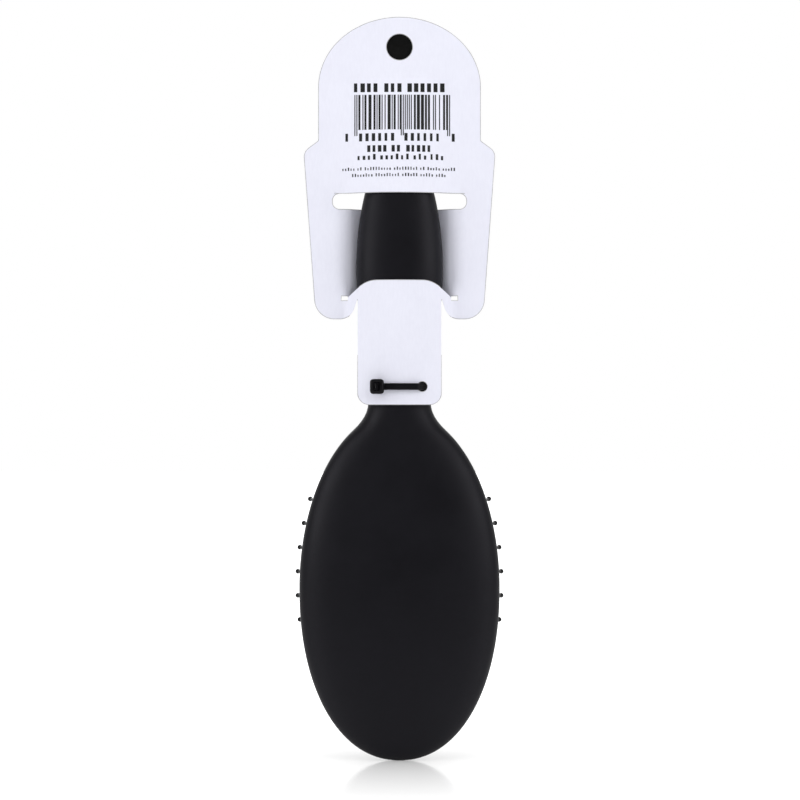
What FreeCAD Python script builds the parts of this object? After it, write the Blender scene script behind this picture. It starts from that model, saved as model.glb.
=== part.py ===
import FreeCAD, Part
import math
import os

from FreeCAD import Vector

# A cushioned detangling brush, handle up, threaded through a hang card and tied to it.
# Lengths are millimetres and angles degrees.
# X runs across the brush, +Y the way the pins point, +Z up the handle.
# Heights count from the widest line of the head, depths from the plane where the shells meet.
# At the end every piece moves so that the centre of the card's hang hole is the origin.

# Body, seen from the back
head_width = 66.0
head_lower_length = 56.0
head_upper_length = 58.6
neck_width = 20.6
neck_rise = 2.4
grip_width = 28.6
grip_rise = 43.0
grip_end_length = 43.0

# Body, seen from the side
head_back_depth = 10.5
head_front_depth = 6.2
neck_depth = 7.0
grip_depth = 8.5
wall_thickness = 2.4

# Body roundness: powers of its superellipses, and where the head's outline leaves its ellipse
tip_power = 2.15
head_back_power = 2.3
head_front_power = 3.0
ellipse_power = 2.0
head_blend_share = 0.887

# Inside of the shells
peg_radius = 1.5
peg_length = 3.5
peg_clearance = 0.1
boss_wall = 1.4
boss_height_shares = (0.14, 0.42, 0.68)
rib_thickness = 1.6
rib_height_shares = (0.02, 0.28, 0.55, 0.8)

# Cushion and its seat in the front shell
side_rim_width = 5.8
lower_rim_width = 10.0
upper_rim_width = 8.6
cushion_clearance = 0.3
cushion_thickness = 1.2
crown_height = 6.5
flange_width = 1.6
flange_thickness = 1.9
flange_clearance = 0.05
clamp_rib_thickness = 1.6
vent_radius = 0.8
vent_height_share = 0.9

# Pins
pin_length = 25.0
pin_root_radius = 0.6
pin_tip_radius = 0.42
ball_radius = 0.85
pin_head_radius = 0.95
pin_head_thickness = 0.8
pin_clearance = 0.15
pin_head_clearance = 0.8
pin_row_pitch = 7.2
pin_columns = 15
side_margin = 3.4
lower_margin = 8.0
upper_margin = 3.0
field_corner_share = 0.8625
column_bow_share = 1.3
side_splay = 25.5
end_splay = 14.0
splay_fade_power = 3

# Hang card: heights count from the lower end of its tongue
card_thickness = 0.5
card_clearance = 0.3
card_rise = 60.4
header_width = 53.3
arch_height = 23.0
arch_spring = 104.5
shoulder_width = 63.0
shoulder_top = 86.8
shoulder_drop = 3.6
shoulder_radius = 3.5
shoulder_notch_radius = 0.8
wing_width = 55.0
lobe_bottom = 28.2
lobe_outer_radius = 6.5
lobe_inner_radius = 5.0
lobe_foot_width = 32.0
notch_top = 34.4
notch_gap = 0.25
tongue_width = 27.4
tongue_radius = 3.8
hang_hole_radius = 4.36
hang_hole_drop = 9.8
slot_bottom = 64.3
slot_height = 5.2
slot_length = 44.2
slot_radius = 2.3
slit_end = 35.0
slit_rise = 6.3
slit_top_width = 21.8
slit_radius = 8.0
relief_inner_width = 34.0
relief_outer_width = 38.4
relief_height = 1.6
header_foot_inset = 0.6
header_crown_radius = 24.0
header_flat = 108.0
strip_crown_radius = 21.0
tongue_end_radius = 40.0

# Cable tie
tie_hole_radius = 1.7
tie_hole_spacing = 14.9
tie_height = 5.9
strap_width = 2.2
strap_thickness = 1.0
strap_clearance = 0.3
strap_side_share = 0.72
strap_fold_radius = 1.3
strap_exit_radius = 2.0
tie_head_width = 4.6
tie_head_height = 4.9
tie_head_depth = 3.5
tie_head_fillet = 0.5
tie_tail_length = 1.2
tie_head_shift = 0.1
tie_window_clearance = 0.2
tie_pawl_depth = 1.0

# How far a cut or a sheet runs past what it trims
overrun = 2.0

# Sizes that follow
head_half = head_width / 2
neck_half = neck_width / 2
grip_half = grip_width / 2
neck_height = head_upper_length + neck_rise
grip_height = neck_height + grip_rise
handle_top = grip_height + grip_end_length
body_length = head_lower_length + handle_top

opening_half_width = head_half - side_rim_width
opening_bottom = lower_rim_width - head_lower_length
opening_top = head_upper_length - upper_rim_width
opening_half_length = (opening_top - opening_bottom) / 2
opening_centre = (opening_top + opening_bottom) / 2
seat_depth = flange_thickness + 2 * flange_clearance
dome_half_width = opening_half_width - cushion_clearance
dome_half_length = opening_half_length - cushion_clearance
flange_half_width = opening_half_width + flange_width
flange_half_length = opening_half_length + flange_width

field_half_width = opening_half_width - side_margin
field_bottom = opening_bottom + lower_margin
field_top = opening_top - upper_margin
field_centre = (field_top + field_bottom) / 2
field_half_length = (field_top - field_bottom) / 2

card_top = arch_spring + arch_height
slot_top = slot_bottom + slot_height
slit_top = slit_end + slit_rise
hang_hole_height = card_top - hang_hole_drop
sheet_gap = card_clearance + card_thickness / 2


# Shared forms

def superellipse(share, power):
    return max(0, 1 - abs(share) ** power) ** (1 / power)


def ease(share):
    return share * share * (3 - 2 * share)


def mix(first, second, share):
    return first + (second - first) * share


def scaled(shape, x, y, z):
    matrix = FreeCAD.Matrix()
    matrix.scale(x, y, z)
    return shape.transformGeometry(matrix)


def block(x0, x1, y0, y1, z0, z1):
    return Part.makeBox(x1 - x0, y1 - y0, z1 - z0, Vector(x0, y0, z0))


def oval_prism(half_width, half_length, centre, y0, y1):
    unit = Part.makeCylinder(1, 1, Vector(0, 0, 0), Vector(0, 1, 0))
    prism = scaled(unit, half_width, y1 - y0, half_length)
    return prism.translated(Vector(0, y0, centre))


def half_oval_dome(half_width, height, half_length, centre, base):
    unit = Part.makeSphere(1, Vector(0, 0, 0), Vector(0, 1, 0), 0, 90)
    return scaled(unit, half_width, height, half_length).translated(Vector(0, base, centre))


def along_y(radius, x, z, y0, y1):
    return Part.makeCylinder(radius, y1 - y0, Vector(x, y0, z), Vector(0, 1, 0))


def rounded_edges(corners, closed):
    # Corners are (point, radius); lines join them and arcs round them.
    count = len(corners)
    starts = []
    ends = []
    arcs = []
    for i, (point, radius) in enumerate(corners):
        if radius == 0 or (not closed and i in (0, count - 1)):
            starts.append(point)
            ends.append(point)
            continue
        before = (corners[i - 1][0] - point).normalize()
        after = (corners[(i + 1) % count][0] - point).normalize()
        half_angle = before.getAngle(after) / 2
        start = point + before * (radius / math.tan(half_angle))
        end = point + after * (radius / math.tan(half_angle))
        inward = (before + after).normalize()
        middle = point + inward * (radius / math.sin(half_angle) - radius)
        starts.append(start)
        ends.append(end)
        arcs.append((i, Part.Arc(start, middle, end).toShape()))
    edges = []
    arc_at = dict(arcs)
    for i in range(count):
        if i in arc_at:
            edges.append(arc_at[i])
        follower = (i + 1) % count
        if follower == 0 and not closed:
            break
        if ends[i].distanceToPoint(starts[follower]) > Part.Precision.confusion():
            edges.append(Part.makeLine(ends[i], starts[follower]))
    return Part.Wire(edges)


def card_prism(corners):
    # A closed outline of (x, card height, radius), standing through the card's whole depth.
    points = [(Vector(x, -shoulder_width, card_rise + height), radius) for x, height, radius in corners]
    return Part.Face(rounded_edges(points, True)).extrude(Vector(0, 2 * shoulder_width, 0))


# Body of the brush

def half_width(z, inset):
    head = head_half - inset
    neck = neck_half - inset
    grip = grip_half - inset
    upper = head_upper_length - inset
    blend = head_blend_share * head_upper_length
    if z <= 0:
        return head * superellipse(z / (head_lower_length - inset), tip_power)
    if z <= blend:
        return head * superellipse(z / upper, ellipse_power)
    if z <= neck_height:
        start = head * superellipse(blend / upper, ellipse_power)
        slope = -head * head * blend / (upper * upper * start)
        span = neck_height - blend
        t = (z - blend) / span
        return mix(start, neck, ease(t)) + slope * span * t * (1 - t) * (1 - t)
    if z <= grip_height:
        return mix(neck, grip, ease((z - neck_height) / grip_rise))
    return grip * superellipse((z - grip_height) / (grip_end_length - inset), ellipse_power)


def depth(z, head_depth, power, inset):
    head = head_depth - inset
    neck = neck_depth - inset
    grip = grip_depth - inset
    if z <= 0:
        return head * superellipse(z / (head_lower_length - inset), power)
    if z <= neck_height:
        return mix(head, neck, ease(z / neck_height))
    if z <= grip_height:
        return mix(neck, grip, ease((z - neck_height) / grip_rise))
    return grip * superellipse((z - grip_height) / (grip_end_length - inset), ellipse_power)


def section_power(z, head_power):
    return mix(head_power, ellipse_power, ease(min(1, max(0, z / neck_height))))


def section(z, inset):
    around = 24
    width = half_width(z, inset)
    back = depth(z, head_back_depth, head_back_power, inset)
    front = depth(z, head_front_depth, head_front_power, inset)
    points = []
    for i in range(around):
        angle = 2 * math.pi * i / around - math.pi / 2
        c = math.cos(angle)
        s = math.sin(angle)
        power = section_power(z, head_back_power if s < 0 else head_front_power)
        x = width * math.copysign(abs(c) ** (2 / power), c)
        y = (back if s < 0 else front) * math.copysign(abs(s) ** (2 / power), s)
        points.append(Vector(x, y, z))
    curve = Part.BSplineCurve()
    curve.interpolate(Points=points, PeriodicFlag=True, Parameters=[i / around for i in range(around + 1)])
    return Part.Wire(curve.toShape())


def stations(inset):
    # Heights of the sections, close together where the outline turns fast.
    end_share = 0.02
    lower_steps = 9
    upper_steps = 5
    blend_steps = 4
    grip_steps = 5
    end_steps = 8
    blend = head_blend_share * head_upper_length
    heights = []
    for i in range(lower_steps):
        angle = math.pi / 2 * mix(end_share, 1, i / lower_steps)
        heights.append((inset - head_lower_length) * math.cos(angle))
    for i in range(upper_steps):
        heights.append(head_upper_length * math.sin(math.asin(head_blend_share) * i / upper_steps))
    for i in range(blend_steps):
        heights.append(mix(blend, neck_height, i / blend_steps))
    for i in range(grip_steps):
        heights.append(mix(neck_height, grip_height, i / grip_steps))
    for i in range(end_steps + 1):
        angle = math.pi / 2 * mix(0, 1 - end_share, i / end_steps)
        heights.append(grip_height + (grip_end_length - inset) * math.sin(angle))
    return heights


def body(inset):
    return Part.makeLoft([section(z, inset) for z in stations(inset)], True)


def back_space():
    return block(-head_width, head_width, -head_width, 0, -body_length, body_length)


def front_space():
    return block(-head_width, head_width, 0, head_width, -body_length, body_length)


def handle_height(share):
    return mix(neck_height, handle_top, share)


def ribs():
    made = []
    for share in rib_height_shares:
        z = handle_height(share)
        made.append(block(-grip_half, grip_half, -head_width, head_width,
                          z - rib_thickness / 2, z + rib_thickness / 2))
    return made


def bosses():
    radius = peg_radius + peg_clearance + boss_wall
    return [along_y(radius, 0, handle_height(share), -head_width, head_width) for share in boss_height_shares]


def back_shell(outer, hollow):
    clamp = oval_prism(flange_half_width, flange_half_length, opening_centre, -head_width, 0)
    inner_width = flange_half_width - clamp_rib_thickness
    inner_length = flange_half_length - clamp_rib_thickness
    clamp = clamp.cut(oval_prism(inner_width, inner_length, opening_centre, -head_width - overrun, overrun))
    inside = outer.common(clamp.multiFuse(ribs() + bosses()))
    shell = hollow.fuse(inside).common(back_space())
    hole_depth = peg_length + peg_clearance
    holes = [along_y(peg_radius + peg_clearance, 0, handle_height(share), -hole_depth, overrun)
             for share in boss_height_shares]
    return shell.cut(holes)


def front_shell(outer, hollow):
    seat = oval_prism(flange_half_width + flange_width, flange_half_length + flange_width,
                      opening_centre, seat_depth, head_width)
    inside = outer.common(seat.multiFuse(ribs() + bosses()))
    shell = hollow.fuse(inside).common(front_space())
    pocket = oval_prism(flange_half_width + cushion_clearance, flange_half_length + cushion_clearance,
                        opening_centre, -overrun, seat_depth)
    opening = oval_prism(opening_half_width, opening_half_length, opening_centre, -overrun, head_width)
    shell = shell.cut([pocket, opening])
    pegs = [along_y(peg_radius, 0, handle_height(share), -peg_length, peg_radius)
            for share in boss_height_shares]
    return shell.multiFuse(pegs)


# Cushion and pins

def dome_base():
    # The dome springs from the inner edge of the bezel.
    return head_front_depth * superellipse(opening_half_width / head_half, head_front_power)


def dome_depth(x, z):
    share = (x / dome_half_width) ** 2 + ((z - opening_centre) / dome_half_length) ** 2
    return dome_base() + crown_height * math.sqrt(1 - share)


def column_pins(column):
    # Seat on the dome and direction of each pin in one column.
    middle = (pin_columns - 1) // 2
    step = column - middle
    share = step / middle
    stagger = 0.5 if step % 2 else 0
    reach = field_half_length * math.sqrt(1 - (share * field_corner_share) ** 2)
    first = math.ceil((field_centre - reach) / pin_row_pitch - stagger)
    last = math.floor((field_centre + reach) / pin_row_pitch - stagger)
    bow_length = column_bow_share * opening_half_length
    pins = []
    for row in range(first, last + 1):
        z = (row + stagger) * pin_row_pitch
        bow = superellipse(z / bow_length, ellipse_power)
        x = share * bow * field_half_width
        lean_x = math.tan(math.radians(side_splay)) * share * bow ** splay_fade_power
        lean_z = math.tan(math.radians(end_splay)) * (z - opening_centre) / field_half_length
        pins.append((Vector(x, dome_depth(x, z), z), Vector(lean_x, 1, lean_z).normalize()))
    return pins


def upright_pin():
    head_top = -cushion_thickness - pin_head_clearance
    head_bottom = head_top - pin_head_thickness
    joint = pin_length - math.sqrt(ball_radius ** 2 - pin_tip_radius ** 2)
    outline = [Vector(0, 0, head_bottom), Vector(pin_head_radius, 0, head_bottom),
               Vector(pin_head_radius, 0, head_top), Vector(pin_root_radius, 0, head_top),
               Vector(pin_tip_radius, 0, joint)]
    ball_top = Vector(0, 0, pin_length + ball_radius)
    ball = Part.Arc(outline[-1], Vector(ball_radius, 0, pin_length), ball_top).toShape()
    stem = Part.makePolygon(outline)
    profile = Part.Wire(stem.Edges + [ball, Part.makeLine(ball_top, outline[0])])
    return Part.Face(profile).revolve(Vector(0, 0, 0), Vector(0, 0, 1), 360)


def placed(shape, point, direction):
    turn = FreeCAD.Rotation(Vector(0, 0, 1), direction)
    copy = shape.copy()
    copy.Placement = FreeCAD.Placement(point, turn)
    return copy


def pin_column(column):
    pin = upright_pin()
    return Part.makeCompound([placed(pin, point, direction) for point, direction in column_pins(column)])


def cushion():
    base = dome_base()
    dome = half_oval_dome(dome_half_width, crown_height, dome_half_length, opening_centre, base)
    side = oval_prism(dome_half_width, dome_half_length, opening_centre, flange_clearance, base)
    flange = oval_prism(flange_half_width, flange_half_length, opening_centre,
                        flange_clearance, flange_clearance + flange_thickness)
    inner_width = dome_half_width - cushion_thickness
    inner_length = dome_half_length - cushion_thickness
    chamber = oval_prism(inner_width, inner_length, opening_centre, -overrun, base)
    crown = half_oval_dome(inner_width, crown_height - cushion_thickness, inner_length, opening_centre, base)
    made = dome.multiFuse([side, flange]).cut(chamber.fuse(crown))
    holes = []
    hole = Part.makeCylinder(pin_root_radius + pin_clearance, 2 * crown_height, Vector(0, 0, -crown_height))
    for column in range(pin_columns):
        holes += [placed(hole, point, direction) for point, direction in column_pins(column)]
    vent = opening_centre - vent_height_share * dome_half_length
    holes.append(along_y(vent_radius, 0, vent, base, base + crown_height))
    return made.cut(holes)


# Hang card

def sheet_wire(rise, crown_radius, foot, toward, z):
    # The card's section where it bows: flat rail, foot arc, crown arc, foot arc, flat rail.
    foot_radius = (foot * foot / rise + rise) / 2 - crown_radius
    angle = math.atan2(foot, foot_radius + crown_radius - rise)
    runs = []
    for side in (1, -1):
        skin = side * card_thickness / 2
        crown = crown_radius + skin
        toe = foot_radius - skin
        bend_x = crown * math.sin(angle)
        bend_y = rise - crown_radius + crown * math.cos(angle)
        toe_x = foot - toe * math.sin(angle / 2)
        toe_y = foot_radius - toe * math.cos(angle / 2)

        def at(x, y):
            return Vector(x, toward * y, z)

        runs.append([
            Part.makeLine(at(shoulder_width, skin), at(foot, skin)),
            Part.Arc(at(foot, skin), at(toe_x, toe_y), at(bend_x, bend_y)).toShape(),
            Part.Arc(at(bend_x, bend_y), at(0, rise + skin), at(-bend_x, bend_y)).toShape(),
            Part.Arc(at(-bend_x, bend_y), at(-toe_x, toe_y), at(-foot, skin)).toShape(),
            Part.makeLine(at(-foot, skin), at(-shoulder_width, skin)),
            (at(shoulder_width, skin), at(-shoulder_width, skin))])
    outer, inner = runs
    far = Part.makeLine(outer[-1][1], inner[-1][1])
    near = Part.makeLine(inner[-1][0], outer[-1][0])
    return Part.Wire(outer[:-1] + [far] + inner[-2::-1] + [near])


def flat_wire(foot, z):
    # The same section run flat, with its bends where the bowed one has them.
    stops = [Vector(x, 0, z) for x in (shoulder_width, foot, foot / 2, -foot / 2, -foot, -shoulder_width)]
    skin = Vector(0, card_thickness / 2, 0)
    around = [stop - skin for stop in stops] + [stop + skin for stop in reversed(stops)]
    return Part.makePolygon(around + around[:1])


def flat_sheet(low, high):
    return block(-shoulder_width, shoulder_width, -card_thickness / 2, card_thickness / 2,
                 card_z(low), card_z(high))


def tongue_wire(rise, radius, z):
    # The tongue's section: one arc bowed toward the back of the brush.
    half = tongue_width / 2 + overrun
    sides = []
    for skin in (card_thickness / 2, -card_thickness / 2):
        outer = radius + skin
        edge = rise - radius + math.sqrt(outer * outer - half * half)
        sides.append((Vector(half, -edge, z), Vector(0, -rise - skin, z), Vector(-half, -edge, z)))
    front, back = sides
    return Part.Wire([Part.Arc(*front).toShape(), Part.makeLine(front[2], back[2]),
                      Part.Arc(*back).toShape(), Part.makeLine(back[0], front[0])])


def card_z(height):
    return card_rise + height


def bow_over(height):
    return depth(card_z(height), head_back_depth, head_back_power, 0) + sheet_gap


def strip_rise():
    return grip_depth + sheet_gap


def tongue_rise(height):
    return mix(bow_over(0), strip_rise(), height / lobe_bottom)


def card_outline():
    right = [(header_width / 2, arch_spring, 0),
             (header_width / 2, shoulder_top, shoulder_notch_radius),
             (shoulder_width / 2, shoulder_top - shoulder_drop, shoulder_radius),
             (wing_width / 2, lobe_bottom, lobe_outer_radius),
             (lobe_foot_width / 2, lobe_bottom, lobe_inner_radius),
             (tongue_width / 2 + notch_gap, notch_top, 0),
             (tongue_width / 2, notch_top, 0),
             (tongue_width / 2, 0, tongue_radius)]
    left = [(-x, height, radius) for x, height, radius in reversed(right)]
    arch = oval_prism(header_width / 2, arch_height, card_z(arch_spring), -shoulder_width, shoulder_width)
    return card_prism(right + left).fuse(arch)


def above_slit():
    crest = slit_top_width / 2
    slope_foot = crest + slit_rise
    return card_prism([(shoulder_width, slit_end, 0), (slope_foot, slit_end, 0),
                       (crest, slit_top, slit_radius), (-crest, slit_top, slit_radius),
                       (-slope_foot, slit_end, 0), (-shoulder_width, slit_end, 0),
                       (-shoulder_width, slot_bottom, 0), (shoulder_width, slot_bottom, 0)])


def hang_card():
    foot = relief_outer_width / 2
    header_foot = slot_length / 2 - header_foot_inset
    header = Part.makeLoft([
        sheet_wire(bow_over(slot_top), header_crown_radius, header_foot, -1, card_z(slot_top)),
        flat_wire(header_foot, card_z(header_flat))], True, True)
    top = flat_sheet(header_flat, card_top)
    rails = flat_sheet(slot_bottom, slot_top)
    slot = card_prism([(x * slot_length / 2, height, slot_radius)
                       for x, height in ((1, slot_top), (1, slot_bottom), (-1, slot_bottom), (-1, slot_top))])
    over_slit = above_slit()
    strip = Part.Face(sheet_wire(strip_rise(), strip_crown_radius, foot, 1, card_z(slit_end)))
    strip = strip.extrude(Vector(0, 0, slot_bottom - slit_end)).common(over_slit)
    lobes = Part.Face(sheet_wire(strip_rise(), strip_crown_radius, foot, -1, card_z(lobe_bottom)))
    lobes = lobes.extrude(Vector(0, 0, slit_top - lobe_bottom)).cut(over_slit)
    tongue = Part.makeLoft([tongue_wire(tongue_rise(0), tongue_end_radius, card_z(0)),
                            tongue_wire(strip_rise(), strip_crown_radius, card_z(lobe_bottom))], True, True)
    card = header.multiFuse([top, rails.cut(slot), strip, lobes, tongue]).common(card_outline())
    cuts = [along_y(hang_hole_radius, 0, card_z(hang_hole_height), -shoulder_width, shoulder_width)]
    for side in (1, -1):
        cuts.append(along_y(tie_hole_radius, side * tie_hole_spacing / 2, card_z(tie_height),
                            -shoulder_width, 0))
        cuts.append(card_prism([(side * x / 2, slit_end + y * relief_height / 2, 0)
                                for x, y in ((relief_outer_width, 1), (relief_outer_width, -1),
                                             (relief_inner_width, -1), (relief_inner_width, 1))]))
    return card.cut(cuts).removeSplitter()


# Cable tie

def tie_path():
    # The strap's centre line: along the tongue, in at the right hole, round the neck, out at the left hole.
    z = card_z(tie_height)
    half_strap = strap_thickness / 2
    loop_x = half_width(z, 0) + strap_clearance + half_strap
    loop_y = depth(z, head_front_depth, head_front_power, 0) + strap_clearance + half_strap
    side_radius = strap_side_share * loop_y
    centre_x = loop_x - side_radius
    top_radius = (centre_x ** 2 + loop_y ** 2 - side_radius ** 2) / (2 * (loop_y - side_radius))
    turn = math.atan2(top_radius - loop_y, centre_x)
    top_y = loop_y - top_radius + top_radius / math.sin(turn)

    hole_x = tie_hole_spacing / 2
    arc_radius = mix(tongue_end_radius, strip_crown_radius, tie_height / lobe_bottom)
    sag = arc_radius - math.sqrt(arc_radius ** 2 - hole_x ** 2)
    hole_y = sag - tongue_rise(tie_height)
    run_y = -tongue_rise(tie_height) - card_thickness / 2 - strap_clearance - half_strap
    away_x = centre_x - hole_x
    away_y = -hole_y
    slant = math.atan2(away_y, away_x) - math.asin(side_radius / math.hypot(away_x, away_y))
    fold_x = hole_x - (hole_y - run_y) / math.tan(slant)

    # The right-hand corner is where the slanted run meets the tangent of the loop's top arc.
    lead = (centre_x + side_radius * math.cos(turn), side_radius * math.sin(turn))
    tangent = (-math.sin(turn), math.cos(turn))
    run = (math.cos(slant), math.sin(slant))
    cross = run[0] * tangent[1] - run[1] * tangent[0]
    along = ((lead[0] - hole_x) * tangent[1] - (lead[1] - hole_y) * tangent[0]) / cross
    corner_x = hole_x + along * run[0]
    corner_y = hole_y + along * run[1]

    head_x = tie_head_centre()
    exit_y = hole_y - (hole_x + head_x) * math.tan(slant)
    end_y = run_y + half_strap - tie_head_depth - tie_tail_length
    root_x = head_x + tie_head_width / 4
    corners = [(root_x, run_y, 0), (fold_x, run_y, strap_fold_radius), (corner_x, corner_y, side_radius),
               (0, top_y, top_radius), (-corner_x, corner_y, side_radius),
               (head_x, exit_y, strap_exit_radius), (head_x, end_y, 0)]
    return [(Vector(x, y, z), radius) for x, y, radius in corners]


def tie_head_centre():
    return tie_head_shift - tie_hole_spacing / 2


def cable_tie():
    corners = tie_path()
    start = corners[0][0]
    half_width_z = Vector(0, 0, strap_width / 2)
    half_thick = Vector(0, strap_thickness / 2, 0)
    profile = Part.makePolygon([start - half_thick - half_width_z, start + half_thick - half_width_z,
                                start + half_thick + half_width_z, start - half_thick + half_width_z,
                                start - half_thick - half_width_z])
    strap = rounded_edges(corners, False).makePipeShell([profile], True, False)
    centre = tie_head_centre()
    back = start.y + strap_thickness / 2
    front = back - tie_head_depth
    head = block(centre - tie_head_width / 2, centre + tie_head_width / 2, front, back,
                 start.z - tie_head_height / 2, start.z + tie_head_height / 2)
    head = head.makeFillet(tie_head_fillet, head.Edges)
    window_x = strap_thickness / 2 + tie_window_clearance
    window_z = strap_width / 2 + tie_window_clearance
    head = head.cut(block(centre - window_x, centre + window_x, front - overrun, back + overrun,
                          start.z - window_z, start.z + window_z))
    middle = (front + back) / 2
    pawl = block(centre - window_x, centre, middle - tie_pawl_depth / 2, middle + tie_pawl_depth / 2,
                 start.z - window_z, start.z + window_z)
    return head.multiFuse([strap, pawl]).removeSplitter()


def build():
    outer = body(0)
    hollow = outer.cut(body(wall_thickness))
    pieces = {"back_shell": back_shell(outer, hollow), "front_shell": front_shell(outer, hollow),
              "cushion": cushion(), "hang_card": hang_card(), "cable_tie": cable_tie()}
    for column in range(pin_columns):
        pieces["pin_column_%02d" % (column + 1)] = pin_column(column)
    return pieces


origin = Vector(0, 0, card_z(hang_hole_height))
os.makedirs("parts", exist_ok=True)
for name, shape in build().items():
    moved = shape.translated(-origin)
    moved.exportStep("parts/%s.step" % name)
    print(name, len(moved.Solids), "solids", moved.isValid(), round(moved.Volume))
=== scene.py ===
import math
import random

import bmesh
import bpy
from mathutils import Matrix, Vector
from mathutils.bvhtree import BVHTree
from mathutils.geometry import delaunay_2d_cdt


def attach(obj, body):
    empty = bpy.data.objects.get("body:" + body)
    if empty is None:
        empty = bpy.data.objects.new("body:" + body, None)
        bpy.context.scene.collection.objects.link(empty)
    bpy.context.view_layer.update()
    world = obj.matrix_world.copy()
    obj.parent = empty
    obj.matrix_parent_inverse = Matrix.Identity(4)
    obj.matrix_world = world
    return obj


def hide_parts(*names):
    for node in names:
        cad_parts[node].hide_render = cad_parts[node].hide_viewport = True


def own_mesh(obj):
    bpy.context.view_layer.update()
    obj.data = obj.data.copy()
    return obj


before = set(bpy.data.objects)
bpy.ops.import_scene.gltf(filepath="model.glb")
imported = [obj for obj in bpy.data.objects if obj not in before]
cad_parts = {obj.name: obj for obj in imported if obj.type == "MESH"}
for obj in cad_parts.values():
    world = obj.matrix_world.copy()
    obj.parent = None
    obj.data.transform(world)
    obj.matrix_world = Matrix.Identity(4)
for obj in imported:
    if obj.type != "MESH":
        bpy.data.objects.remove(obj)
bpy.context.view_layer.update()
print("frame loaded,", len(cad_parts), "nodes")

mm = 0.001
weld = 1e-7  # m, corners closer than this become one
holeAboveHead = 178.1  # mm from the head's widest line up to the hang hole


def toFrame(x, y, z):
    return Vector((x, y, z - holeAboveHead)) * mm


def mix(first, second, share):
    return first + (second - first) * share


def ease(share):
    share = min(1.0, max(0.0, share))
    return share * share * (3 - 2 * share)


# shared surface effects, built once and placed in each material

def newGroup(name, inputs, outputs):
    group = bpy.data.node_groups.new(name, "ShaderNodeTree")
    for label, kind, value in inputs:
        socket = group.interface.new_socket(label, in_out="INPUT", socket_type=kind)
        socket.default_value = value
    for label, kind in outputs:
        group.interface.new_socket(label, in_out="OUTPUT", socket_type=kind)
    return group, group.nodes.new("NodeGroupInput"), group.nodes.new("NodeGroupOutput")


def addNode(tree, kind, **settings):
    node = tree.nodes.new(kind)
    for label, value in settings.items():
        setattr(node, label, value)
    return node


def addMath(tree, operation, first, second, clamp=False):
    node = addNode(tree, "ShaderNodeMath", operation=operation, use_clamp=clamp)
    for socket, value in zip(node.inputs, (first, second)):
        if isinstance(value, (int, float)):
            socket.default_value = value
        else:
            tree.links.new(value, socket)
    return node.outputs[0]


def addNoise(tree, scale, detail, roughness=0.55):
    coords = addNode(tree, "ShaderNodeTexCoord")
    noise = addNode(tree, "ShaderNodeTexNoise")
    noise.inputs["Detail"].default_value = detail
    noise.inputs["Roughness"].default_value = roughness
    tree.links.new(coords.outputs["Object"], noise.inputs["Vector"])
    if isinstance(scale, (int, float)):
        noise.inputs["Scale"].default_value = scale
    else:
        tree.links.new(scale, noise.inputs["Scale"])
    return noise.outputs["Fac"]


def addRange(tree, value, low, high, outLow, outHigh):
    node = addNode(tree, "ShaderNodeMapRange")
    for label, given in (("Value", value), ("From Min", low), ("From Max", high),
                         ("To Min", outLow), ("To Max", outHigh)):
        if isinstance(given, (int, float)):
            node.inputs[label].default_value = given
        else:
            tree.links.new(given, node.inputs[label])
    return node.outputs[0]


def addColourMix(tree, share, first, second):
    node = addNode(tree, "ShaderNodeMix", data_type="RGBA")
    for socket, given in ((node.inputs[0], share), (node.inputs[6], first), (node.inputs[7], second)):
        if isinstance(given, (int, float, tuple)):
            socket.default_value = given
        else:
            tree.links.new(given, socket)
    return node.outputs[2]


grainForm = {
    "grainDetail": 2.0, "driftDetail": 3.0, "driftRoughness": 0.6, "grainShare": 0.45, "driftShare": 0.55,
    "toneSpan": (0.35, 0.65), "roughSpan": (0.32, 0.68),
}


def mouldGrainGroup():
    # fine pebble of a moulded or coated skin, with a slow drift of tone and gloss over it
    f = grainForm
    group, given, made = newGroup("Mould grain", [
        ("Dark", "NodeSocketColor", (0.008, 0.008, 0.009, 1)),
        ("Light", "NodeSocketColor", (0.012, 0.012, 0.014, 1)),
        ("Grain scale", "NodeSocketFloat", 5200.0),
        ("Drift scale", "NodeSocketFloat", 60.0),
        ("Rough low", "NodeSocketFloat", 0.5),
        ("Rough high", "NodeSocketFloat", 0.6)],
        [("Colour", "NodeSocketColor"), ("Roughness", "NodeSocketFloat"), ("Height", "NodeSocketFloat")])
    grain = addNoise(group, given.outputs["Grain scale"], f["grainDetail"])
    drift = addNoise(group, given.outputs["Drift scale"], f["driftDetail"], f["driftRoughness"])
    tone = addMath(group, "ADD", addMath(group, "MULTIPLY", grain, f["grainShare"]),
                   addMath(group, "MULTIPLY", drift, f["driftShare"]))
    tone = addRange(group, tone, *f["toneSpan"], 0.0, 1.0)
    colour = addColourMix(group, tone, given.outputs["Dark"], given.outputs["Light"])
    rough = addRange(group, drift, *f["roughSpan"], given.outputs["Rough low"], given.outputs["Rough high"])
    group.links.new(colour, made.inputs["Colour"])
    group.links.new(rough, made.inputs["Roughness"])
    group.links.new(grain, made.inputs["Height"])
    return group


lintForm = {"speckSpan": (0.05, 0.14), "patchScale": 420.0, "patchDetail": 1.0, "patchSpan": (0.6, 0.68)}


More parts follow.
